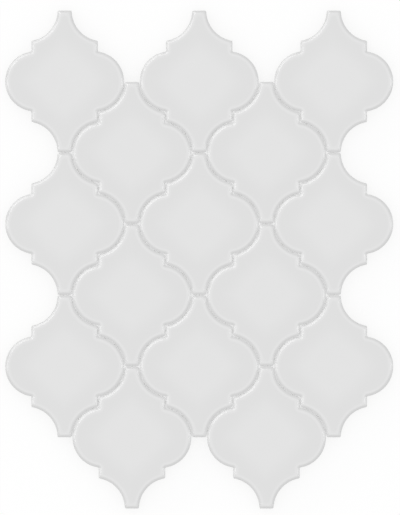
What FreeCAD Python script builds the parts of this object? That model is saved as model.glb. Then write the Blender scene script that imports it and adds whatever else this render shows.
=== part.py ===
import FreeCAD, Part
import math
import os

import Sketcher

# A sheet of lantern-shaped (arabesque) ceramic tiles, laid close together on a glass-fibre backing net.
# Millimetres. The sheet lies flat with its glazed faces up: +X runs across the columns of tiles,
# +Y along them, and the origin is in the middle of the underside of the net.

doc = FreeCAD.newDocument("ArabesqueSheet")

# Driving dimensions

SIZES = {
    "tile_width": 75.0,  # across the two lobes
    "tip_width": 8.8,  # the flat end of each tip
    "lobe_radius": 19.0,  # the round side lobes
    "step_height": 6.8,  # the straight shoulder between a lobe and a tip
    "tile_thickness": 8.0,  # from the back to the glazed face
    "edge_radius": 1.5,  # the rounding all round the glazed face
    "joint_width": 0.6,  # the open joint between neighbouring tiles
    "strand_pitch": 8.5,  # from strand to strand of the net, fitted to whole strands
    "strand_width": 1.2,
    "strand_thickness": 0.4,
    "net_margin": 1.2,  # how far the net stays inside the outline of the tiles
}
COLUMNS = "abcde"
TILES_PER_COLUMN = 3

sheet = doc.addObject("Spreadsheet::Sheet", "Sizes")
for line, (alias, millimetres) in enumerate(SIZES.items(), start=1):
    sheet.set(f"A{line}", alias)
    sheet.set(f"B{line}", str(millimetres))
    sheet.setAlias(f"B{line}", alias)
doc.recompute()

# Sizes that follow from the driving ones. A lobe nests in the flanks of the two tiles beside it, so a flank
# shares its centre with the neighbour's lobe and is larger by the joint.

LOBE_OFFSET = "(Sizes.tile_width / 2 - Sizes.lobe_radius)"
HALF_WAIST = "((Sizes.tile_width + Sizes.tip_width) / 4)"
COLUMN_PITCH = f"(2 * {HALF_WAIST} + Sizes.joint_width)"
FLANK_OFFSET = f"({COLUMN_PITCH} - {LOBE_OFFSET})"
FLANK_RADIUS = "(Sizes.lobe_radius + Sizes.joint_width)"
STEP_BOTTOM = f"sqrt(Sizes.lobe_radius ^ 2 - ({HALF_WAIST} - {LOBE_OFFSET}) ^ 2)"
STEP_TOP = f"({STEP_BOTTOM} + Sizes.step_height)"
FLANK_DROP = f"sqrt({FLANK_RADIUS} ^ 2 - ({FLANK_OFFSET} - {HALF_WAIST}) ^ 2)"
ROW_PITCH = f"({STEP_TOP} + {FLANK_DROP})"
HALF_HEIGHT = f"({ROW_PITCH} - Sizes.joint_width / 2)"


def worked_out(expression):
    """The value of an expression over the sheet, in millimetres."""
    return float(sheet.evalExpression(expression))


def column_place(column):
    """How many column pitches a column stands to the right of the middle of the sheet."""
    return COLUMNS.index(column) - (len(COLUMNS) - 1) / 2


def stands_high(column):
    """Every other column, the outer ones among them, stands one row pitch higher than its neighbours."""
    return COLUMNS.index(column) % 2 == 0


def tile_rows(column):
    """The heights of a column's tile centres, in row pitches, from the top tile down."""
    top = TILES_PER_COLUMN - 1 + (0.5 if stands_high(column) else -0.5)
    return [top - 2 * number for number in range(TILES_PER_COLUMN)]


# The lantern outline: two round lobes, four straight steps, four hollow flanks and two flat tips


def arc(centre, radius, first, last):
    """The arc about a centre that runs anticlockwise from the first point to the last."""
    angles = [math.atan2(y - centre[1], x - centre[0]) for x, y in (first, last)]
    circle = Part.Circle(FreeCAD.Vector(*centre, 0), FreeCAD.Vector(0, 0, 1), radius)
    return Part.ArcOfCircle(circle, angles[0], angles[1] + (2 * math.pi if angles[1] < angles[0] else 0))


def segment(first, last):
    """The straight line between two points."""
    return Part.LineSegment(FreeCAD.Vector(*first, 0), FreeCAD.Vector(*last, 0))


def bind(sketch, constraint, expression):
    """Adds a constraint whose value follows an expression over the sheet."""
    number = sketch.addConstraint(constraint)
    sketch.setExpression(f"Constraints[{number}]", expression)


def hold(sketch, axis, side, geometry, point, expression):
    """Holds a point of the sketch at a distance from the origin, on the positive or the negative side."""
    ends = (-1, 1, geometry, point) if side > 0 else (geometry, point, -1, 1)
    bind(sketch, Sketcher.Constraint(f"Distance{axis}", *ends, worked_out(expression)), expression)


def draw_lantern(sketch):
    """Draws the outline of one tile about the origin and constrains it to the sheet."""
    start, end, centre = 1, 2, 3
    lobe_x, flank_x = worked_out(LOBE_OFFSET), worked_out(FLANK_OFFSET)
    lobe_radius, flank_radius = worked_out("Sizes.lobe_radius"), worked_out(FLANK_RADIUS)
    waist, step_bottom, step_top = worked_out(HALF_WAIST), worked_out(STEP_BOTTOM), worked_out(STEP_TOP)
    flank_y, tip_x, tip_y = worked_out(ROW_PITCH), worked_out("Sizes.tip_width / 2"), worked_out(HALF_HEIGHT)

    lobes, tips = {}, {}
    for side in (1, -1):
        foot, head = (side * waist, -side * step_bottom), (side * waist, side * step_bottom)
        lobes[side] = sketch.addGeometry(arc((side * lobe_x, 0), lobe_radius, foot, head))
        sketch.addConstraint(Sketcher.Constraint("PointOnObject", lobes[side], centre, -1))
        hold(sketch, "X", side, lobes[side], centre, LOBE_OFFSET)
        bind(sketch, Sketcher.Constraint("Radius", lobes[side], lobe_radius), "Sizes.lobe_radius")

        tips[side] = sketch.addGeometry(segment((tip_x, side * tip_y), (-tip_x, side * tip_y)))
        sketch.addConstraint(Sketcher.Constraint("Horizontal", tips[side]))
        hold(sketch, "Y", side, tips[side], start, HALF_HEIGHT)

    for side in (1, -1):
        for end_up in (1, -1):
            low, high = (side * waist, end_up * step_bottom), (side * waist, end_up * step_top)
            step = sketch.addGeometry(segment(low, high))
            sketch.addConstraint(Sketcher.Constraint("Vertical", step))
            hold(sketch, "X", side, step, start, HALF_WAIST)

            # Arcs run anticlockwise, so on two of the four flanks the tip end comes first
            tip_first = side * end_up > 0
            corner = (side * tip_x, end_up * tip_y)
            ends = (corner, high) if tip_first else (high, corner)
            flank = sketch.addGeometry(arc((side * flank_x, end_up * flank_y), flank_radius, *ends))
            hold(sketch, "X", side, flank, centre, FLANK_OFFSET)
            hold(sketch, "Y", end_up, flank, centre, ROW_PITCH)
            bind(sketch, Sketcher.Constraint("Radius", flank, flank_radius), FLANK_RADIUS)

            at_lobe = end if tip_first else start
            at_step, at_tip = (end, start) if tip_first else (start, end)
            tip_end = start if side > 0 else end
            sketch.addConstraint(Sketcher.Constraint("Coincident", lobes[side], at_lobe, step, start))
            sketch.addConstraint(Sketcher.Constraint("Coincident", step, end, flank, at_step))
            sketch.addConstraint(Sketcher.Constraint("Coincident", flank, at_tip, tips[end_up], tip_end))


# The tiles


def tile(label, column, row):
    """One lantern tile: the outline padded to the thickness, with its glazed edge rounded."""
    body = doc.addObject("PartDesign::Body", label)
    body.Label = label

    outline = body.newObject("Sketcher::SketchObject", f"{label}_outline")
    floor = [plane for plane in body.Origin.OriginFeatures if plane.Role == "XY_Plane"]
    outline.AttachmentSupport = (floor[0], [""])
    outline.MapMode = "FlatFace"
    draw_lantern(outline)

    slab = body.newObject("PartDesign::Pad", f"{label}_slab")
    slab.Profile = outline
    slab.setExpression("Length", "Sizes.tile_thickness")
    doc.recompute()

    edges = enumerate(slab.Shape.Edges, start=1)
    top = slab.Shape.BoundBox.ZMax
    rim = [f"Edge{number}" for number, edge in edges if math.isclose(edge.BoundBox.ZMin, top, abs_tol=1e-4)]
    glazed_edge = body.newObject("PartDesign::Fillet", f"{label}_glazed_edge")
    glazed_edge.Base = (slab, rim)
    glazed_edge.setExpression("Radius", "Sizes.edge_radius")

    body.setExpression("Placement.Base.x", f"{column_place(column)} * {COLUMN_PITCH}")
    body.setExpression("Placement.Base.y", f"{row} * {ROW_PITCH}")
    body.setExpression("Placement.Base.z", "Sizes.strand_thickness")
    return body


# The backing net, in one strip for each column of tiles. The cross strands of neighbouring strips meet end to
# end halfway between two columns, so the strips together make one net with even meshes.


def net_rows(column):
    """The heights of a strip's cross strands, all of them under the tiles of the sheet."""
    pitch = worked_out(ROW_PITCH)
    spacing = pitch / max(1, round(pitch / worked_out("Sizes.strand_pitch")))
    clear = worked_out("Sizes.net_margin + Sizes.strand_width / 2")
    short = (TILES_PER_COLUMN - 0.5) * pitch - clear
    long = (TILES_PER_COLUMN - 0.5) * pitch + worked_out(STEP_TOP) - clear
    below, above = (short, long) if stands_high(column) else (long, short)
    return [number * spacing for number in range(-int(below / spacing), int(above / spacing) + 1)]


def net_columns(column):
    """The places of a strip's long strands, measured from the middle of the column."""
    pitch = worked_out(COLUMN_PITCH)
    count = max(2, round(pitch / worked_out("Sizes.strand_pitch")))
    places = [(number + 0.5) * pitch / count - pitch / 2 for number in range(count)]
    reach = worked_out("Sizes.tip_width / 2 - Sizes.net_margin - Sizes.strand_width / 2")
    if column == COLUMNS[0]:
        places = [place for place in places if place >= -reach]
    if column == COLUMNS[-1]:
        places = [place for place in places if place <= reach]
    return places


def net_edge(side, rows, shared_rows, strand, seam, half):
    """One long edge of a strip, from the bottom up: a straight strand whose shared cross strands reach the seam."""
    points = [(strand + side * half, rows[0] - half)]
    for row in rows:
        if row in shared_rows:
            inner, outer = strand + side * half, side * seam
            points += [(inner, row - half), (outer, row - half), (outer, row + half), (inner, row + half)]
    points.append((strand + side * half, rows[-1] + half))
    return [point for number, point in enumerate(points) if number == 0 or point != points[number - 1]]


def loop(points):
    """A closed wire through points at the underside of the net."""
    corners = [FreeCAD.Vector(x, y, 0) for x, y in points]
    return Part.makePolygon(corners + corners[:1])


def net_strip(label, column):
    """The net under one column of tiles: long strands and cross strands in one layer, with open meshes."""
    half = worked_out("Sizes.strand_width / 2")
    seam = worked_out(f"{COLUMN_PITCH} / 2")
    rows, strands = net_rows(column), net_columns(column)
    place = COLUMNS.index(column)
    shared = [
        net_rows(COLUMNS[next_place]) if 0 <= next_place < len(COLUMNS) else []
        for next_place in (place - 1, place + 1)
    ]

    left = net_edge(-1, rows, shared[0], strands[0], seam, half)
    right = net_edge(1, rows, shared[1], strands[-1], seam, half)
    meshes = [
        loop([(x0 + half, y0 + half), (x0 + half, y1 - half), (x1 - half, y1 - half), (x1 - half, y0 + half)])
        for x0, x1 in zip(strands, strands[1:])
        for y0, y1 in zip(rows, rows[1:])
    ]
    layer = Part.Face([loop(right + left[::-1])] + meshes)

    strip = doc.addObject("Part::Feature", label)
    strip.Label = label
    strip.Shape = layer.extrude(FreeCAD.Vector(0, 0, worked_out("Sizes.strand_thickness")))
    strip.Placement.Base = FreeCAD.Vector(column_place(column) * worked_out(COLUMN_PITCH), 0, 0)
    return strip


# The sheet

pieces = []
for column in COLUMNS:
    for number, row in enumerate(tile_rows(column), start=1):
        pieces.append(tile(f"lantern_tile_{column}{number}", column, row))
    pieces.append(net_strip(f"backing_net_{column}", column))
doc.recompute()

for item in doc.Objects:
    if "Invalid" in item.State or "Error" in item.State:
        raise RuntimeError(f"{item.Label} did not build: {item.State}")
for piece in pieces:
    if piece.Shape.isNull() or not piece.Shape.isValid():
        raise RuntimeError(f"{piece.Label} has no valid shape")

os.makedirs("parts", exist_ok=True)
for piece in pieces:
    piece.Shape.exportStep(f"parts/{piece.Label}.step")
    print(piece.Label, len(piece.Shape.Solids), round(piece.Shape.Volume, 1), piece.Shape.BoundBox)
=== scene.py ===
"""Looks of a mosaic sheet: glazed lantern tiles, laid close together on a woven glass-fibre net."""

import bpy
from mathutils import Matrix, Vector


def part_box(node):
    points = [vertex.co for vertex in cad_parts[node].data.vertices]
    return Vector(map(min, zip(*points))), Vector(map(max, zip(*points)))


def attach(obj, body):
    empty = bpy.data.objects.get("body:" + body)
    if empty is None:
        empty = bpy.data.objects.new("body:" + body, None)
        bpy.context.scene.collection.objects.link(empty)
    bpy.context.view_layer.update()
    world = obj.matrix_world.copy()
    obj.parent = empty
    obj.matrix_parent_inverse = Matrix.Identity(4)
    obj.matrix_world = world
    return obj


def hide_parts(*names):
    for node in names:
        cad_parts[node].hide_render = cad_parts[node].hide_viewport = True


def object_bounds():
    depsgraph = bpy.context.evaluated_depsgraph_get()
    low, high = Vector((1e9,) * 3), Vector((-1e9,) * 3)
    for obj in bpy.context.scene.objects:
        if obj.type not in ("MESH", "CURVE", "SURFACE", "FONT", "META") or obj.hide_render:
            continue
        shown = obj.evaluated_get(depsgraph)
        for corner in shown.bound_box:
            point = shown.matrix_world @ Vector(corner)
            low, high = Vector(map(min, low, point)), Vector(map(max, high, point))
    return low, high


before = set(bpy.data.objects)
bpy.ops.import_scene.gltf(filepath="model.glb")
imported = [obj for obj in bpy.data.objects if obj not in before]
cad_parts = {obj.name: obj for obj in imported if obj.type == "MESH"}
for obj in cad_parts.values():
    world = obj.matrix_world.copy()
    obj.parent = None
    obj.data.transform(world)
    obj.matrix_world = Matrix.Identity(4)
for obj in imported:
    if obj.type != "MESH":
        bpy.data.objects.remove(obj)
CAD_BOX = [list(corner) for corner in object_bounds()]

import logging
from dataclasses import dataclass, field
from enum import Enum

import bpy
import numpy as np
from mathutils import Vector

MM = 0.001
COLUMNS = "abcde"
ROWS = (1, 2, 3)
BODY = "root"
Number = float | np.ndarray

log = logging.getLogger("mosaic_sheet")


class Zone(Enum):
    """The two finishes on a tile, in the order of its material slots."""

    GLAZE = 0
    CLAY = 1


class Weave(Enum):
    """How an even strand lies at the middle line of the net: over those it crosses, or under."""

    OVER = 1
    UNDER = -1


# Mesh and node helpers


def grid_faces(rings: int, around: int) -> tuple[np.ndarray, np.ndarray]:
    """Faces of a closed skin of rings, with a pole before the first ring and one after the last.

    Vertex numbers run ring by ring, then come the first pole and the last pole. A quad joins point
    i and i + 1 of one ring to the same points of the next, and each pole is joined to its ring by a
    fan of triangles.

    Args:
        rings: How many rings the skin has.
        around: How many points each ring has.

    Returns:
        The quads as an array of 4 columns and the triangles as an array of 3 columns.
    """
    here = np.arange(around)
    there = np.roll(here, -1)
    base = np.arange(rings - 1)[:, None] * around
    corners = (base + here, base + there, base + around + there, base + around + here)
    quads = np.stack(corners, axis=-1).reshape(-1, 4)
    first, last = np.full(around, rings * around), np.full(around, rings * around + 1)
    top = (rings - 1) * around
    first_fan = np.stack([first, there, here], axis=-1)
    last_fan = np.stack([top + here, top + there, last], axis=-1)
    return quads, np.concatenate([first_fan, last_fan])


def add_piece(name: str, points: np.ndarray, faces: list[list[int]]) -> bpy.types.Object:
    """Makes a smooth-shaded mesh object that sits at the origin, with its place in its vertices.

    Args:
        name: The name of the object and of its mesh.
        points: Vertex positions in metres, one row each.
        faces: Vertex numbers of each face.

    Returns:
        The new object, linked to the scene.
    """
    mesh = bpy.data.meshes.new(name)
    mesh.from_pydata(points.tolist(), [], faces)
    mesh.polygons.foreach_set("use_smooth", np.ones(len(mesh.polygons), dtype=bool))
    mesh.update()
    piece = bpy.data.objects.new(name, mesh)
    bpy.context.scene.collection.objects.link(piece)
    return piece


def add_attribute(piece: bpy.types.Object, name: str, values: np.ndarray) -> None:
    """Stores one number for each vertex of a piece.

    Args:
        piece: The mesh object.
        name: The attribute's name, which materials read.
        values: One value for each vertex.
    """
    layer = piece.data.attributes.new(name, "FLOAT", "POINT")
    layer.data.foreach_set("value", values.astype(np.float32))


def smooth_step(values: np.ndarray, low: float, high: float) -> np.ndarray:
    """An S-shaped rise from 0 at low to 1 at high: 3 t^2 - 2 t^3 of the share t of the way."""
    share = np.clip((values - low) / (high - low), 0.0, 1.0)
    return share * share * (3.0 - 2.0 * share)


@dataclass
class NodeBoard:
    """A node tree that is being wired."""

    tree: bpy.types.NodeTree

    def add(self, kind: str, **settings: object) -> bpy.types.Node:
        """Adds a node and sets its properties.

        Args:
            kind: The node's type, such as ShaderNodeMath.
            settings: Property names and values.

        Returns:
            The new node.
        """
        node = self.tree.nodes.new(kind)
        for name, value in settings.items():
            setattr(node, name, value)
        return node

    def join(self, source: bpy.types.NodeSocket, target: bpy.types.NodeSocket) -> None:
        """Links an output socket to an input socket."""
        self.tree.links.new(source, target)

    def ranged(
        self, source: bpy.types.NodeSocket, low: float, high: float, to_low: float, to_high: float
    ) -> bpy.types.NodeSocket:
        """Maps a number linearly from one range to another, held at the ends.

        Args:
            source: The number.
            low: The value that becomes to_low.
            high: The value that becomes to_high.
            to_low: The first result.
            to_high: The last result.

        Returns:
            The output socket of the mapping node.
        """
        node = self.add("ShaderNodeMapRange")
        for socket, value in zip(node.inputs[1:5], (low, high, to_low, to_high)):
            socket.default_value = value
        self.join(source, node.inputs[0])
        return node.outputs[0]

    def noise(self, scale: float, detail: float) -> bpy.types.NodeSocket:
        """A noise on object coordinates.

        Args:
            scale: Features for each metre.
            detail: How many octaves are added.

        Returns:
            The noise value, from 0 to 1.
        """
        place = self.add("ShaderNodeTexCoord")
        texture = self.add("ShaderNodeTexNoise")
        texture.inputs["Scale"].default_value = scale
        texture.inputs["Detail"].default_value = detail
        self.join(place.outputs["Object"], texture.inputs["Vector"])
        return texture.outputs[0]

    def bump(self, height: bpy.types.NodeSocket, depth: float, shader: bpy.types.Node) -> None:
        """Gives a shader a fine relief.

        Args:
            height: The relief, from 0 to 1.
            depth: The height of a full step, in metres.
            shader: The shader whose normal is bent.
        """
        node = self.add("ShaderNodeBump")
        node.inputs["Strength"].default_value = 1.0
        node.inputs["Distance"].default_value = depth
        self.join(height, node.inputs["Height"])
        self.join(node.outputs["Normal"], shader.inputs["Normal"])

    def seen_directly(self) -> bpy.types.NodeSocket:
        """Tells the rays that show a surface from the rays that light others with it.

        Returns:
            1 for camera, glossy and transmission rays and 0 for all others.
        """
        path = self.add("ShaderNodeLightPath")
        first = self.add("ShaderNodeMath", operation="MAXIMUM")
        second = self.add("ShaderNodeMath", operation="MAXIMUM")
        self.join(path.outputs["Is Camera Ray"], first.inputs[0])
        self.join(path.outputs["Is Glossy Ray"], first.inputs[1])
        self.join(first.outputs[0], second.inputs[0])
        self.join(path.outputs["Is Transmission Ray"], second.inputs[1])
        return second.outputs[0]


def new_material(name: str) -> tuple[bpy.types.Material, NodeBoard, bpy.types.Node]:
    """Makes a material with one Principled shader.

    Args:
        name: The material's name.

    Returns:
        The material, its node board and its shader node.
    """
    material = bpy.data.materials.new(name)
    material.use_nodes = True
    board = NodeBoard(material.node_tree)
    return material, board, material.node_tree.nodes["Principled BSDF"]


# Finishes


@dataclass(frozen=True)
class WhiteGlaze:
    """Glossy white glaze, with painted light on the thin lip and in the middle of the face, painted
    shade on the rim and a painted highlight at the foot of the rim.

    Tones are linear grey levels. From the edge inwards they run from the painted light of the lip
    over the painted shade of the rim to a pale halo at the foot of the rim, which is a painted
    highlight, and on to the field, the glaze's own tone. The field turns into a lighter middle
    tone, which is painted light, by a share that the tile stores. Places and widths are distances
    from the edge, in metres. The ripple is a slow noise that varies the gloss and the relief, and
    its range is the part of the noise that is used.
    """

    painted_lip_light: float = 0.80
    painted_rim_shade: float = 0.670
    painted_halo_highlight: float = 0.774
    field_tone: float = 0.740
    painted_centre_tone: float = 0.770
    lip_width: float = 0.3 * MM
    rim_end: float = 0.55 * MM
    halo_place: float = 2.1 * MM
    field_start: float = 3.9 * MM
    roughness: tuple[float, float] = (0.18, 0.23)
    refraction: float = 1.55
    ripple_scale: float = 140.0
    ripple_range: tuple[float, float] = (0.3, 0.7)
    ripple_depth: float = 0.006 * MM

    def material(self) -> bpy.types.Material:
        """Builds the glaze, which reads a tile's edge_distance attribute and its share of painted
        light in the middle.

        Returns:
            The finished material.
        """
        material, board, shader = new_material("white_glaze")
        distance = board.add("ShaderNodeAttribute", attribute_name="edge_distance")
        share = board.ranged(distance.outputs["Fac"], 0.0, self.field_start, 0.0, 1.0)
        # By distance from the edge, the ramp paints light on the lip, shade on the rim and a
        # highlight at the halo; the field is the glaze's own tone.
        ramp = board.add("ShaderNodeValToRGB")
        ramp.color_ramp.interpolation = "EASE"
        stops = (
            (0.0, self.painted_lip_light),
            (self.lip_width, self.painted_rim_shade),
            (self.rim_end, self.painted_rim_shade),
            (self.halo_place, self.painted_halo_highlight),
            (self.field_start, self.field_tone),
        )
        while len(ramp.color_ramp.elements) < len(stops):
            ramp.color_ramp.elements.new(1.0)
        for element, (place, tone) in zip(ramp.color_ramp.elements, stops):
            element.position = place / self.field_start
            element.color = (tone, tone, tone, 1.0)
        board.join(share, ramp.inputs["Fac"])
        # Painted light: the middle of the face turns to a lighter tone by the share that the tile
        # stores.
        pool = board.add("ShaderNodeAttribute", attribute_name="pool")
        mix = board.add("ShaderNodeMix", data_type="RGBA")
        mix.inputs["B"].default_value = (self.painted_centre_tone,) * 3 + (1.0,)
        board.join(pool.outputs["Fac"], mix.inputs["Factor"])
        board.join(ramp.outputs["Color"], mix.inputs["A"])
        board.join(mix.outputs["Result"], shader.inputs["Base Color"])

        ripple = board.noise(self.ripple_scale, detail=2.0)
        gloss = board.ranged(ripple, *self.ripple_range, *self.roughness)
        board.join(gloss, shader.inputs["Roughness"])
        board.bump(ripple, self.ripple_depth, shader)
        shader.inputs["IOR"].default_value = self.refraction
        return material


@dataclass(frozen=True)
class BareClay:
    """The matt fired body where the glaze stops: warm white with fine sandy specks.

    The share says how much of the pattern is specks, and the rest is clouds. The range is the part
    of the pattern over which the colour turns from dark to pale.
    """

    pale: tuple[float, float, float] = (0.74, 0.71, 0.66)
    dark: tuple[float, float, float] = (0.62, 0.585, 0.53)
    roughness: float = 0.88
    speck_scale: float = 2600.0
    speck_share: float = 0.6
    cloud_scale: float = 120.0
    pattern_range: tuple[float, float] = (0.3, 0.62)
    grain_depth: float = 0.06 * MM

    def material(self) -> bpy.types.Material:
        """Builds the clay from two noises, of which the finer one also gives the grain its relief.

        Returns:
            The finished material.
        """
        material, board, shader = new_material("bare_clay")
        specks = board.noise(self.speck_scale, detail=3.0)
        clouds = board.noise(self.cloud_scale, detail=2.0)
        both = board.add("ShaderNodeMath", operation="MULTIPLY_ADD")
        both.inputs[1].default_value = self.speck_share
        board.join(specks, both.inputs[0])
        board.join(board.ranged(clouds, 0.0, 1.0, 0.0, 1.0 - self.speck_share), both.inputs[2])
        mix = board.add("ShaderNodeMix", data_type="RGBA")
        mix.inputs["A"].default_value = (*self.dark, 1.0)
        mix.inputs["B"].default_value = (*self.pale, 1.0)
        share = board.ranged(both.outputs[0], *self.pattern_range, 0.0, 1.0)
        board.join(share, mix.inputs["Factor"])
        board.join(mix.outputs["Result"], shader.inputs["Base Color"])
        board.bump(specks, self.grain_depth, shader)
        shader.inputs["Roughness"].default_value = self.roughness
        return material


@dataclass(frozen=True)
class GlassFibre:
    """Clear white glass yarn in a thin resin coat, with fine filaments along each yarn.

    The resin fills the yarn, so light is bent less than by a solid glass rod and its refraction is
    set low. The filaments are counted over half the yarn's width, the flecks along it for each
    metre, and the range is the part of their noise over which the colour turns from dark to pale.
    """

    pale: tuple[float, float, float] = (0.99, 0.99, 0.98)
    dark: tuple[float, float, float] = (0.95, 0.95, 0.93)
    roughness: float = 0.25
    clearness: float = 0.92
    refraction: float = 1.22
    filaments: float = 9.0
    fleck_scale: float = 160.0
    fleck_range: tuple[float, float] = (0.3, 0.6)
    filament_depth: float = 0.03 * MM

    def material(self) -> bpy.types.Material:
        """Builds the yarn, whose filaments follow the across and along attributes of the net.

        Returns:
            The finished material.
        """
        material, board, shader = new_material("glass_fibre")
        across = board.add("ShaderNodeAttribute", attribute_name="across")
        along = board.add("ShaderNodeAttribute", attribute_name="along")
        place = board.add("ShaderNodeCombineXYZ")
        board.join(across.outputs["Fac"], place.inputs["X"])
        board.join(along.outputs["Fac"], place.inputs["Y"])
        mapping = board.add("ShaderNodeMapping")
        mapping.inputs["Scale"].default_value = (self.filaments, self.fleck_scale, 1.0)
        board.join(place.outputs["Vector"], mapping.inputs["Vector"])
        yarn = board.add("ShaderNodeTexNoise")
        yarn.inputs["Scale"].default_value = 1.0
        yarn.inputs["Detail"].default_value = 2.0
        board.join(mapping.outputs["Vector"], yarn.inputs["Vector"])
        mix = board.add("ShaderNodeMix", data_type="RGBA")
        mix.inputs["A"].default_value = (*self.dark, 1.0)
        mix.inputs["B"].default_value = (*self.pale, 1.0)
        share = board.ranged(yarn.outputs[0], *self.fleck_range, 0.0, 1.0)
        board.join(share, mix.inputs["Factor"])
        board.join(mix.outputs["Result"], shader.inputs["Base Color"])
        board.bump(yarn.outputs[0], self.filament_depth, shader)
        shader.inputs["Roughness"].default_value = self.roughness
        shader.inputs["Transmission Weight"].default_value = self.clearness
        shader.inputs["IOR"].default_value = self.refraction
        return material


# The tiles


@dataclass(frozen=True)
class LanternOutline:
    """The plan of a lantern tile: two lobes, four straight steps, four hollow flanks and two tips.

    A lobe nests in the flanks of the tiles beside it, so a flank shares its centre with the
    neighbour's lobe and its radius is larger by the joint. The counts say how many points each
    stretch of a quarter has, and the softening by how much a corner's radius grows with the inset.
    """

    tile_width: float = 75.0 * MM
    tip_width: float = 8.8 * MM
    lobe_radius: float = 19.0 * MM
    step_height: float = 6.8 * MM
    joint: float = 0.6 * MM
    corner_radius: float = 0.8 * MM
    throat_radius: float = 0.6 * MM
    corner_softening: float = 0.4
    counts: tuple[int, ...] = (36, 6, 8, 6, 36, 6, 6)

    def rings(self, insets: np.ndarray) -> np.ndarray:
        """The outline moved inwards by several distances.

        Each outline is one quarter of seven stretches, mirrored to the other three: an arc of the
        lobe, a rounded throat, the step, a rounded corner, the hollow flank, a rounded corner and
        half of the flat tip. Moving inwards by d makes the lobe's radius smaller by d and the
        flank's larger by d, and moves the step and the tip by d. A rounding is a circle that
        touches both its neighbours, so its centre lies its own radius away from the line and its
        own radius away from the arc.

        Args:
            insets: The distances, one for each ring.

        Returns:
            Points, rings by points by 2, anticlockwise from the middle of the right lobe.
        """
        d = insets[:, None]
        waist = (self.tile_width + self.tip_width) / 4
        lobe_x = self.tile_width / 2 - self.lobe_radius
        flank_x = 2 * waist + self.joint - lobe_x
        flank_size = self.lobe_radius + self.joint
        step_bottom = np.sqrt(self.lobe_radius**2 - (waist - lobe_x) ** 2)
        flank_y = step_bottom + self.step_height + np.sqrt(flank_size**2 - (flank_x - waist) ** 2)

        lobe, flank = self.lobe_radius - d, flank_size + d
        side, end = waist - d, flank_y - self.joint / 2 - d
        throat, corner = self.throat_radius + d, self.corner_radius + self.corner_softening * d

        throat_x = side + throat
        throat_y = np.sqrt((lobe + throat) ** 2 - (throat_x - lobe_x) ** 2)
        corner_x = side - corner
        corner_y = flank_y - np.sqrt((flank + corner) ** 2 - (flank_x - corner_x) ** 2)
        tip_y = end - corner
        tip_x = flank_x - np.sqrt((flank + corner) ** 2 - (flank_y - tip_y) ** 2)

        to_throat = np.arctan2(throat_y, throat_x - lobe_x)
        to_corner = np.arctan2(corner_y - flank_y, corner_x - flank_x)
        to_tip = np.arctan2(tip_y - flank_y, tip_x - flank_x)
        shares = [np.arange(count)[None, :] / count for count in self.counts]
        quarter = np.concatenate(
            [
                self.arc(lobe_x, 0.0, lobe, 0.0, to_throat, shares[0]),
                self.arc(throat_x, throat_y, throat, to_throat + np.pi, np.pi, shares[1]),
                self.line(side, throat_y, side, corner_y, shares[2]),
                self.arc(corner_x, corner_y, corner, 0.0, to_corner + np.pi, shares[3]),
                self.arc(flank_x, flank_y, flank, to_corner, to_tip, shares[4]),
                self.arc(tip_x, tip_y, corner, to_tip + np.pi, np.pi / 2, shares[5]),
                self.line(tip_x, end, 0.0, end, shares[6]),
            ],
            axis=1,
        )
        last = np.stack([np.zeros_like(end), end], axis=-1)
        back = np.concatenate([quarter[:, 1:], last], axis=1)[:, ::-1]
        half = np.concatenate([quarter, back * (-1, 1)], axis=1)
        return np.concatenate([half, -half], axis=1)

    @staticmethod
    def arc(
        x: Number, y: Number, radius: Number, first: Number, last: Number, shares: np.ndarray
    ) -> np.ndarray:
        """Points on a circle about (x, y), at the given shares of the way between two angles."""
        angle = first + (last - first) * shares
        return np.stack([x + radius * np.cos(angle), y + radius * np.sin(angle)], axis=-1)

    @staticmethod
    def line(x0: Number, y0: Number, x1: Number, y1: Number, shares: np.ndarray) -> np.ndarray:
        """Points on a straight line, at the given shares of the way between two points."""
        return np.stack([x0 + (x1 - x0) * shares, y0 + (y1 - y0) * shares], axis=-1)


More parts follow.
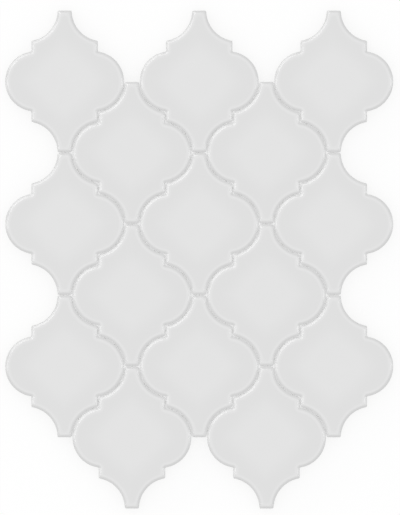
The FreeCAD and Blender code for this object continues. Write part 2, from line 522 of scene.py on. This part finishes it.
@dataclass
class LanternTile:
    """One glazed lantern tile, standing where its CAD node is.

    Widths and reaches are measured from the edge inwards, and tilts from level, in degrees. The rim
    keeps its own tilt as far as rim_steady and is level from rim_width on. The glaze ends on the
    side at glaze_line below the face, in a step and in waves of so many turns round the tile, with
    shares of glaze_wave as their heights. The ripples of the face have ripple_length times a number
    from ripple_spread. Painted light makes the middle of the face lighter; it fades over its fade,
    which counts in shares of its reach from the middle along X and Y.
    """

    node: str
    seed: int
    outline: LanternOutline = field(default_factory=LanternOutline)
    rim_width: float = 2.2 * MM
    rim_steady: float = 1.4 * MM
    rim_tilt: float = 15.0
    edge_width: float = 0.35 * MM
    edge_tilt: float = 52.0
    arris_radius: float = 0.2 * MM
    arris_rings: int = 5
    foot_bevel: float = 0.5 * MM
    glaze_line: float = 3.3 * MM
    glaze_wave: float = 0.45 * MM
    wave_turns: tuple[int, int] = (3, 9)
    wave_shares: tuple[float, float] = (0.15, 0.45)
    glaze_step: float = 0.12 * MM
    crown: float = 0.12 * MM
    crown_reach: float = 18.0 * MM
    pool_reach: tuple[float, float] = (23.4 * MM, 22.7 * MM)
    pool_power: float = 1.25
    pool_fade: tuple[float, float] = (0.66, 1.34)
    ripple: float = 0.015 * MM
    ripple_length: float = 24.0 * MM
    ripple_spread: tuple[float, float] = (0.7, 1.4)
    ripple_reach: float = 6.0 * MM
    ripple_count: int = 4
    ripple_seed: int = 100
    back_rings: int = 4
    rim_rings: int = 14
    rim_crowding: float = 1.6
    rim_samples: int = 400
    face_rings: int = 14
    piece: bpy.types.Object | None = None

    def build(self) -> bpy.types.Object:
        """Makes the skin of the tile: the rim's profile carried round the outline, and closed.

        Rings run from the middle of the back outwards, up the side, over the rim and in to the
        middle of the face. Each ring is the outline moved inwards by an inset and set at a height.
        On the face and the back the ring shrinks evenly towards the middle. The glaze ends on the
        side in a wavy line, a sum of a few sine waves round the outline.

        Returns:
            The tile as a mesh object.
        """
        low, high = (np.array(corner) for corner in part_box(self.node))
        middle = (low + high) / 2
        foot, top = low[2], high[2]

        rim_inset, rim_drop = self.rim()
        line = top - self.glaze_line
        line_ring = 3  # the side ring on which the clay ends; the next one is the glaze's edge
        step = self.glaze_step
        side_inset = np.array([self.foot_bevel, step, step, step, 0.0, 0.0])
        side_height = np.array(
            [
                foot,
                foot + self.foot_bevel,
                (foot + line) / 2,
                line,
                line + step,
                top - rim_drop[0],
            ]
        )
        insets = np.concatenate([side_inset, rim_inset[1:]])
        heights = np.concatenate([side_height, top - rim_drop[1:]])
        rings = self.outline.rings(insets)
        heights = np.repeat(heights[:, None], rings.shape[1], axis=1)
        heights[line_ring : line_ring + 2] += self.glaze_wave * self.waves(rings.shape[1])

        shrink = np.linspace(1.0, 0.0, self.face_rings + 1)[1:-1, None, None]
        face = rings[-1:] * shrink
        back = rings[:1] * np.linspace(0.0, 1.0, self.back_rings + 1)[1:-1, None, None]
        centre = np.zeros((1, rings.shape[1], 2))
        flat = np.concatenate([back, rings, face, centre])
        level = np.concatenate(
            [np.full(back.shape[:2], foot), heights, np.full((len(face) + 1, rings.shape[1]), top)]
        )
        away = self.edge_distance(flat, rings[len(side_inset) - 1])
        inner = slice(len(back) + len(side_inset), None)
        level[inner] += self.relief(flat[inner], away[inner])

        count = flat.shape[0] - 1
        points = np.concatenate([flat, level[:, :, None]], axis=-1)
        points[:, :, :2] += middle[:2]
        poles = np.array([[*middle[:2], foot], points[-1, 0]])
        quads, fans = grid_faces(count, flat.shape[1])
        self.piece = add_piece(
            f"glazed_{self.node}",
            np.concatenate([points[:-1].reshape(-1, 3), poles]),
            quads.tolist() + fans.tolist(),
        )
        add_attribute(self.piece, "edge_distance", np.append(away[:-1].ravel(), [0.0, away[-1, 0]]))
        # Painted light: the share by which the middle of the face is drawn lighter.
        add_attribute(self.piece, "pool", np.append(self.pool(flat[:-1]).ravel(), [0.0, 1.0]))

        clay_rings = len(back) + line_ring
        zones = np.full(len(quads) + len(fans), Zone.GLAZE.value)
        zones[: clay_rings * flat.shape[1]] = Zone.CLAY.value
        zones[len(quads) : len(quads) + flat.shape[1]] = Zone.CLAY.value
        self.piece.data.polygons.foreach_set("material_index", zones.astype(np.int32))
        return self.piece

    def rim(self) -> tuple[np.ndarray, np.ndarray]:
        """The section of the rim, from the side up to the level face.

        The arris is an arc that turns from upright to the edge's tilt. From there the slope falls
        in two S-shaped steps, from the tangent of the edge's tilt to that of the rim's own tilt
        and then, after a steady stretch, to level. The drop is the slope added up from the face
        outwards. Rings lie closer together at the edge, by a power of their even shares.

        Returns:
            The inset from the edge and the drop below the face of each ring.
        """
        turn = np.linspace(0.0, np.pi / 2 - np.radians(self.edge_tilt), self.arris_rings)
        arc_inset = self.arris_radius * (1.0 - np.cos(turn))
        arc_rise = self.arris_radius * np.sin(turn)
        start = arc_inset[-1]
        shares = np.linspace(0.0, 1.0, self.rim_rings) ** self.rim_crowding
        inset = start + (self.rim_width - start) * shares
        fine = np.linspace(start, self.rim_width, self.rim_samples)
        gentle, steep = np.tan(np.radians([self.rim_tilt, self.edge_tilt]))
        slope = gentle * (1.0 - smooth_step(fine, self.rim_steady, self.rim_width))
        slope = slope + (steep - gentle) * (1.0 - smooth_step(fine, start, self.edge_width))
        fall = np.concatenate([[0.0], np.cumsum((slope[1:] + slope[:-1]) / 2 * np.diff(fine))])
        drop = np.interp(inset, fine, fall[-1] - fall)
        arc_drop = drop[0] + arc_rise[-1] - arc_rise
        return np.append(arc_inset, inset[1:]), np.append(arc_drop, drop[1:])

    def waves(self, count: int) -> np.ndarray:
        """A smooth closed curve, the sum of sine waves that make whole turns round the tile.

        There is one wave for each number of turns, and its height and start are drawn.

        Args:
            count: How many points the curve has.

        Returns:
            Values between about -1 and 1, one for each point.
        """
        draw = np.random.default_rng(self.seed)
        fewest, most = self.wave_turns
        turns = np.arange(fewest, most + 1)[:, None]
        place = np.linspace(0.0, 2 * np.pi, count, endpoint=False)[None, :]
        heights = draw.uniform(*self.wave_shares, turns.shape)
        starts = draw.uniform(0.0, 2 * np.pi, turns.shape)
        return (heights * np.sin(turns * place + starts)).sum(axis=0)

    def relief(self, flat: np.ndarray, away: np.ndarray) -> np.ndarray:
        """The height of the face above a level plane.

        A shallow crown rises with the distance from the edge, and a few long ripples of fired glaze
        are added: sine waves in drawn directions, which fade out towards the rim.

        Args:
            flat: Plan positions about the middle of the tile, in an array that ends in 2.
            away: The distance of each point from the edge.

        Returns:
            Heights in metres.
        """
        draw = np.random.default_rng(self.seed + self.ripple_seed)
        total = self.crown * smooth_step(away, self.rim_width, self.crown_reach)
        fade = smooth_step(away, self.rim_width, self.ripple_reach)
        for _ in range(self.ripple_count):
            heading, start = draw.uniform(0.0, 2 * np.pi, 2)
            length = self.ripple_length * draw.uniform(*self.ripple_spread)
            along = flat @ np.array([np.cos(heading), np.sin(heading)])
            phase = along * 2 * np.pi / length + start
            total = total + self.ripple / self.ripple_count * fade * np.sin(phase)
        return total

    def pool(self, flat: np.ndarray) -> np.ndarray:
        """How much painted light the face gets: 1 in the middle of the face, fading to 0 near its
        edges.

        The fade is an S-shaped fall over the size of a rounded diamond through the point, which is
        the sum of its shares of the reach along X and Y, each to a power, brought back by that
        power's root.

        Args:
            flat: Plan positions about the middle of the tile, in an array that ends in 2.

        Returns:
            Shares from 0 to 1.
        """
        shares = np.abs(flat) / np.array(self.pool_reach)
        size = (shares**self.pool_power).sum(axis=-1) ** (1 / self.pool_power)
        return 1.0 - smooth_step(size, *self.pool_fade)

    @staticmethod
    def edge_distance(flat: np.ndarray, edge: np.ndarray) -> np.ndarray:
        """The distance in plan from each point to the nearest point of the edge.

        Args:
            flat: Plan positions, rings by points by 2.
            edge: The points of the widest ring.

        Returns:
            Distances, rings by points.
        """
        nearest = []
        for ring in flat:
            apart = ring[:, None] - edge[None]
            nearest.append(np.hypot(apart[..., 0], apart[..., 1]).min(axis=1))
        return np.stack(nearest)

    def dress(self, glaze: bpy.types.Material, clay: bpy.types.Material) -> None:
        """Gives the tile its finishes and joins it to the frame in place of its CAD node.

        Args:
            glaze: The finish of the face, the rim and the upper side.
            clay: The finish of the lower side and the back.
        """
        self.piece.data.materials.append(glaze)
        self.piece.data.materials.append(clay)
        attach(self.piece, BODY)
        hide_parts(self.node)


# The backing net


@dataclass
class BackingNet:
    """The woven glass-fibre net on the back, in the place of the five flat CAD strips.

    Its strands lie where those of the strips do, with meshes_per_pitch meshes from the middle of a
    tile to that of the next column's tile. The slack is the rounding that is allowed where a strand
    lies along the edge of a strip.
    """

    strand_width: float = 1.2 * MM
    yarn_width: float = 0.42 * MM
    yarn_thickness: float = 0.2 * MM
    meshes_per_pitch: int = 5
    steps_per_mesh: int = 5
    sides: int = 6
    slack: float = 0.001 * MM
    piece: bpy.types.Object | None = None

    @staticmethod
    def centre(node: str) -> np.ndarray:
        """The middle of a CAD node's box."""
        return np.array(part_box(node)).mean(axis=0)

    @staticmethod
    def strip(column: str) -> tuple[np.ndarray, np.ndarray]:
        """The lowest and highest corner of one column's CAD strip."""
        low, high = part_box(f"backing_net_{column}")
        return np.array(low), np.array(high)

    def build(self) -> bpy.types.Object:
        """Lays long strands along every column, and cross strands over the strips side by side.

        Each strand is a pair of yarns side by side. A cross strand runs over all the strips that
        hold its row, and stops at a gap between them.

        Returns:
            The whole net as one mesh object.
        """
        pitch = self.centre("lantern_tile_c1") - self.centre("lantern_tile_b1")
        spacing_x, spacing_y = pitch[:2] / self.meshes_per_pitch
        half = self.strand_width / 2
        pair = np.array([-0.5, 0.5]) * (self.strand_width - self.yarn_width)

        yarns = []
        for column in COLUMNS:
            low, high = self.strip(column)
            first = np.ceil((low[0] + half - self.slack) / spacing_x)
            last = np.floor((high[0] - half + self.slack) / spacing_x)
            for number in np.arange(first, last + 1):
                lay = self.lay(number, Weave.OVER)
                for x in number * spacing_x + pair:
                    yarns.append(self.yarn((x, low[1]), (x, high[1]), spacing_y, lay))

        reach = max(self.strip(column)[1][1] for column in COLUMNS)
        rows = np.arange(-np.floor(reach / spacing_y), np.floor(reach / spacing_y) + 1)
        for number in rows:
            lay = self.lay(number, Weave.UNDER)
            for left, right in self.runs(number * spacing_y, spacing_x):
                for y in number * spacing_y + pair:
                    yarns.append(self.yarn((left, y), (right, y), spacing_x, lay))

        points, skins, across, along = zip(*yarns)
        offsets = np.cumsum([0] + [len(row) for row in points[:-1]])
        faces: list[list[int]] = []
        for skin, offset in zip(skins, offsets):
            for part in skin:
                faces.extend((part + offset).tolist())
        self.piece = add_piece("woven_backing_net", np.concatenate(points), faces)
        add_attribute(self.piece, "across", np.concatenate(across))
        add_attribute(self.piece, "along", np.concatenate(along))
        return self.piece

    @staticmethod
    def lay(number: float, weave: Weave) -> int:
        """1 where a strand passes over at the net's middle line and -1 where under, by turns."""
        return weave.value * (1 if int(number) % 2 == 0 else -1)

    def runs(self, row: float, spacing: float) -> list[tuple[float, float]]:
        """The stretches of a cross strand: strips side by side that hold the row share one stretch.

        Args:
            row: The strand's place along Y.
            spacing: The distance between long strands.

        Returns:
            The left and right end of each stretch.
        """
        stretches: list[list[float]] = []
        for column in COLUMNS:
            low, high = self.strip(column)
            if not low[1] < row < high[1]:
                continue
            if stretches and abs(stretches[-1][1] - low[0]) < spacing / 2:
                stretches[-1][1] = high[0]
            else:
                stretches.append([low[0], high[0]])
        half = self.strand_width / 2
        ends = np.array(stretches).reshape(-1, 2)
        first = np.ceil((ends[:, 0] + half - self.slack) / spacing) * spacing - half
        last = np.floor((ends[:, 1] - half + self.slack) / spacing) * spacing + half
        return list(zip(first.tolist(), last.tolist()))

    def yarn(
        self, start: tuple[float, float], end: tuple[float, float], spacing: float, lay: int
    ) -> tuple[np.ndarray, tuple[np.ndarray, np.ndarray], np.ndarray, np.ndarray]:
        """One flat yarn that weaves over and under the yarns it crosses.

        An ellipse is carried along a straight line, and its height above the floor is one yarn's
        thickness plus half of it times the cosine of half a turn for each mesh, so that it passes
        each crossing on the other side.

        Args:
            start: Plan position of the first end.
            end: Plan position of the last end.
            spacing: The distance between the yarns that it crosses.
            lay: 1 if it passes over at the middle line of the net and -1 if under.

        Returns:
            The points, the quads and triangles, and each point's place across and along the yarn.
        """
        first, last = np.array(start), np.array(end)
        length = np.hypot(*(last - first))
        heading = (last - first) / length
        count = max(2, int(round(length / spacing * self.steps_per_mesh)))
        along = np.linspace(0.0, length, count + 1)
        path = first + along[:, None] * heading
        measure = path @ np.abs(heading)
        height = self.yarn_thickness * (1.0 + 0.5 * lay * np.cos(np.pi * measure / spacing))

        turn = np.linspace(0.0, 2 * np.pi, self.sides, endpoint=False)
        across = np.cos(turn) * self.yarn_width / 2
        rise = np.sin(turn) * self.yarn_thickness / 2
        flat = path[:, None] + across[None, :, None] * np.array([-heading[1], heading[0]])
        points = np.concatenate([flat, (height[:, None] + rise[None, :])[:, :, None]], axis=-1)
        poles = np.array([[*path[0], height[0]], [*path[-1], height[-1]]])
        quads, fans = grid_faces(count + 1, self.sides)
        return (
            np.concatenate([points.reshape(-1, 3), poles]),
            (quads, fans),
            np.append(np.tile(np.cos(turn), count + 1), [0.0, 0.0]),
            np.append(np.repeat(measure, self.sides), [measure[0], measure[-1]]),
        )

    def dress(self, yarn: bpy.types.Material) -> None:
        """Gives the net its finish and joins it to the frame in place of the CAD strips.

        Its clear yarns hold back little light, so it is left out of the shadows and of the light
        between surfaces.

        Args:
            yarn: The finish of every yarn.
        """
        self.piece.data.materials.append(yarn)
        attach(self.piece, BODY)
        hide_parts(*[f"backing_net_{column}" for column in COLUMNS])
        self.piece.visible_shadow = False
        self.piece.visible_diffuse = False


# The studio


@dataclass
class Studio:
    """A white floor, an even sky, a low lamp, cards for the gloss and a camera that looks down.

    Places are the angle round from +X and the angle above the floor, in degrees. A radiance or glow
    of 1 is white, and key_white is the share of white that the low lamp gives a level surface. The
    two shares in gap_painted_shade_and_light say how bright the floor is in a joint, against its
    glow elsewhere: seen plainly, which is painted shade, and seen through a yarn, which is painted
    light. How open the floor is within gap_reach tells the joints: the shares hold up to the first
    figure in gap_openness and have no effect from the second one on.
    sheet_middle is the pixel of the photograph that shows the middle of the sheet.
    """

    floor_size: float = 16.0
    floor_glow: float = 0.84
    floor_colour: float = 0.16
    gap_painted_shade_and_light: tuple[float, float] = (0.53, 1.19)
    gap_reach: float = 1.2 * MM
    gap_openness: tuple[float, float] = (0.45, 0.65)
    gap_samples: int = 32
    sky: float = 0.947
    lamp_distance: float = 6.0
    key: tuple[float, float] = (135.0, 14.0)
    key_size: tuple[float, float] = (6.0, 1.4)
    key_white: float = 0.05
    card: tuple[float, float] = (130.0, 62.0)
    card_size: tuple[float, float] = (2.6, 2.1)
    card_radiance: float = 3.0
    strips: tuple[tuple[float, float], ...] = ((0.0, 60.0), (180.0, 60.0))
    strip_size: tuple[float, float] = (0.9, 2.1)
    strip_radiance: float = 3.2
    camera_height: float = 9.0
    pixels_per_metre: float = 1583.6
    picture: tuple[int, int] = (400, 515)
    sheet_middle: tuple[float, float] = (199.2, 259.55)
    sensor: float = 0.036

    def build(self) -> None:
        """Makes the floor, the world, the lamps and the camera."""
        self.floor()
        self.world()
        self.lamps()
        self.camera()
        bpy.context.scene.view_settings.view_transform = "Standard"

    def floor(self) -> None:
        """Lays a pale floor under the sheet.

        Most of its white is its own glow, so that the shadow on it stays faint. In the narrow
        joints, where the floor is less open to the sky, the glow is dimmed into painted shade, and
        where it is seen through a yarn it is raised into painted light, by the shares in
        gap_painted_shade_and_light.
        """
        half = self.floor_size / 2
        corners = half * np.array([(-1, -1, 0), (1, -1, 0), (1, 1, 0), (-1, 1, 0)])
        floor = add_piece("studio_floor", corners, [[0, 1, 2, 3]])
        material = bpy.data.materials.new("white_paper")
        material.use_nodes = True
        board = NodeBoard(material.node_tree)
        material.node_tree.nodes.remove(material.node_tree.nodes["Principled BSDF"])
        matt = board.add("ShaderNodeBsdfDiffuse")
        matt.inputs["Color"].default_value = (self.floor_colour,) * 3 + (1.0,)
        glow = board.add("ShaderNodeEmission")
        strength = board.add("ShaderNodeMath", operation="MULTIPLY")
        # Painted shade: ambient occlusion dims the floor's glow in the narrow joints, and under a
        # yarn a transmission ray raises it into painted light.
        openness = board.add("ShaderNodeAmbientOcclusion", samples=self.gap_samples)
        openness.inputs["Distance"].default_value = self.gap_reach
        level = board.ranged(openness.outputs["AO"], *self.gap_openness, 0.0, self.floor_glow)
        path = board.add("ShaderNodeLightPath")
        plain, through = (self.floor_glow * share for share in self.gap_painted_shade_and_light)
        faded = board.ranged(path.outputs["Is Transmission Ray"], 0.0, 1.0, plain, through)
        board.join(faded, level.node.inputs["To Min"])
        board.join(level, strength.inputs[1])
        board.join(board.seen_directly(), strength.inputs[0])
        board.join(strength.outputs[0], glow.inputs["Strength"])
        both = board.add("ShaderNodeAddShader")
        board.join(matt.outputs[0], both.inputs[0])
        board.join(glow.outputs[0], both.inputs[1])
        board.join(both.outputs[0], material.node_tree.nodes["Material Output"].inputs["Surface"])
        floor.data.materials.append(material)

    def world(self) -> None:
        """Lights the sheet from the whole sky, which shows as white where it is seen."""
        world = bpy.data.worlds.new("studio_sky")
        world.use_nodes = True
        bpy.context.scene.world = world
        board = NodeBoard(world.node_tree)
        background = world.node_tree.nodes["Background"]
        background.inputs["Color"].default_value = (1.0, 1.0, 1.0, 1.0)
        strength = board.ranged(board.seen_directly(), 0.0, 1.0, self.sky, 1.0)
        board.join(strength, background.inputs["Strength"])

    def lamps(self) -> None:
        """Hangs a low lamp that grazes the rims, and cards for the gloss, which light nothing matt.

        The low lamp's radiance is the one that gives a level surface the share of white in
        key_white: that share times pi, over the lamp's solid angle times the sine of its angle
        above the floor.
        """
        rise = np.sin(np.radians(self.key[1]))
        spread = self.key_size[0] * self.key_size[1] / self.lamp_distance**2
        radiance = self.key_white * np.pi / (spread * rise)
        key = self.softbox("low_key", self.key, self.key_size, radiance)
        key.visible_glossy = False
        cards = [self.softbox("gloss_card", self.card, self.card_size, self.card_radiance)]
        for place in self.strips:
            cards.append(self.softbox("gloss_strip", place, self.strip_size, self.strip_radiance))
        for card in cards:
            card.visible_diffuse = False

    def softbox(
        self, name: str, place: tuple[float, float], size: tuple[float, float], radiance: float
    ) -> bpy.types.Object:
        """Hangs one flat lamp that faces the sheet.

        Args:
            name: The lamp's name.
            place: Its direction from the sheet, in degrees round from +X and above the floor.
            size: Its width and height, in metres.
            radiance: How bright its face is, where 1 is white.

        Returns:
            The lamp, which the camera doesn't see.
        """
        across, up = np.radians(place)
        towards = np.array([np.cos(across) * np.cos(up), np.sin(across) * np.cos(up), np.sin(up)])
        data = bpy.data.lights.new(name, "AREA")
        data.shape = "RECTANGLE"
        data.size, data.size_y = size
        data.energy = radiance * np.pi * size[0] * size[1]
        lamp = bpy.data.objects.new(name, data)
        lamp.location = towards * self.lamp_distance
        lamp.rotation_mode = "QUATERNION"
        lamp.rotation_quaternion = Vector(towards).to_track_quat("Z", "Y")
        lamp.visible_camera = False
        bpy.context.scene.collection.objects.link(lamp)
        return lamp

    def camera(self) -> None:
        """Sets a camera with a long lens straight above the middle of the photograph's view."""
        data = bpy.data.cameras.new("camera")
        width, height = self.picture
        distance = self.camera_height - CAD_BOX[1][2]
        data.sensor_width = self.sensor / MM
        data.lens = data.sensor_width * distance * self.pixels_per_metre / max(width, height)
        data.clip_end = 2 * self.camera_height
        camera = bpy.data.objects.new("camera", data)
        camera.location = (
            (width / 2 - self.sheet_middle[0]) / self.pixels_per_metre,
            (self.sheet_middle[1] - height / 2) / self.pixels_per_metre,
            self.camera_height,
        )
        bpy.context.scene.collection.objects.link(camera)
        bpy.context.scene.camera = camera


def main() -> None:
    logging.basicConfig(level=logging.INFO, format="%(name)s: %(message)s")
    glaze, clay, yarn = WhiteGlaze().material(), BareClay().material(), GlassFibre().material()

    names = [f"lantern_tile_{column}{row}" for column in COLUMNS for row in ROWS]
    for seed, name in enumerate(names):
        tile = LanternTile(name, seed)
        tile.build()
        tile.dress(glaze, clay)
        log.info("%s has %d faces", tile.piece.name, len(tile.piece.data.polygons))

    net = BackingNet()
    net.build()
    net.dress(yarn)
    log.info("%s has %d faces", net.piece.name, len(net.piece.data.polygons))

    Studio().build()


if __name__ == "__main__":
    main()
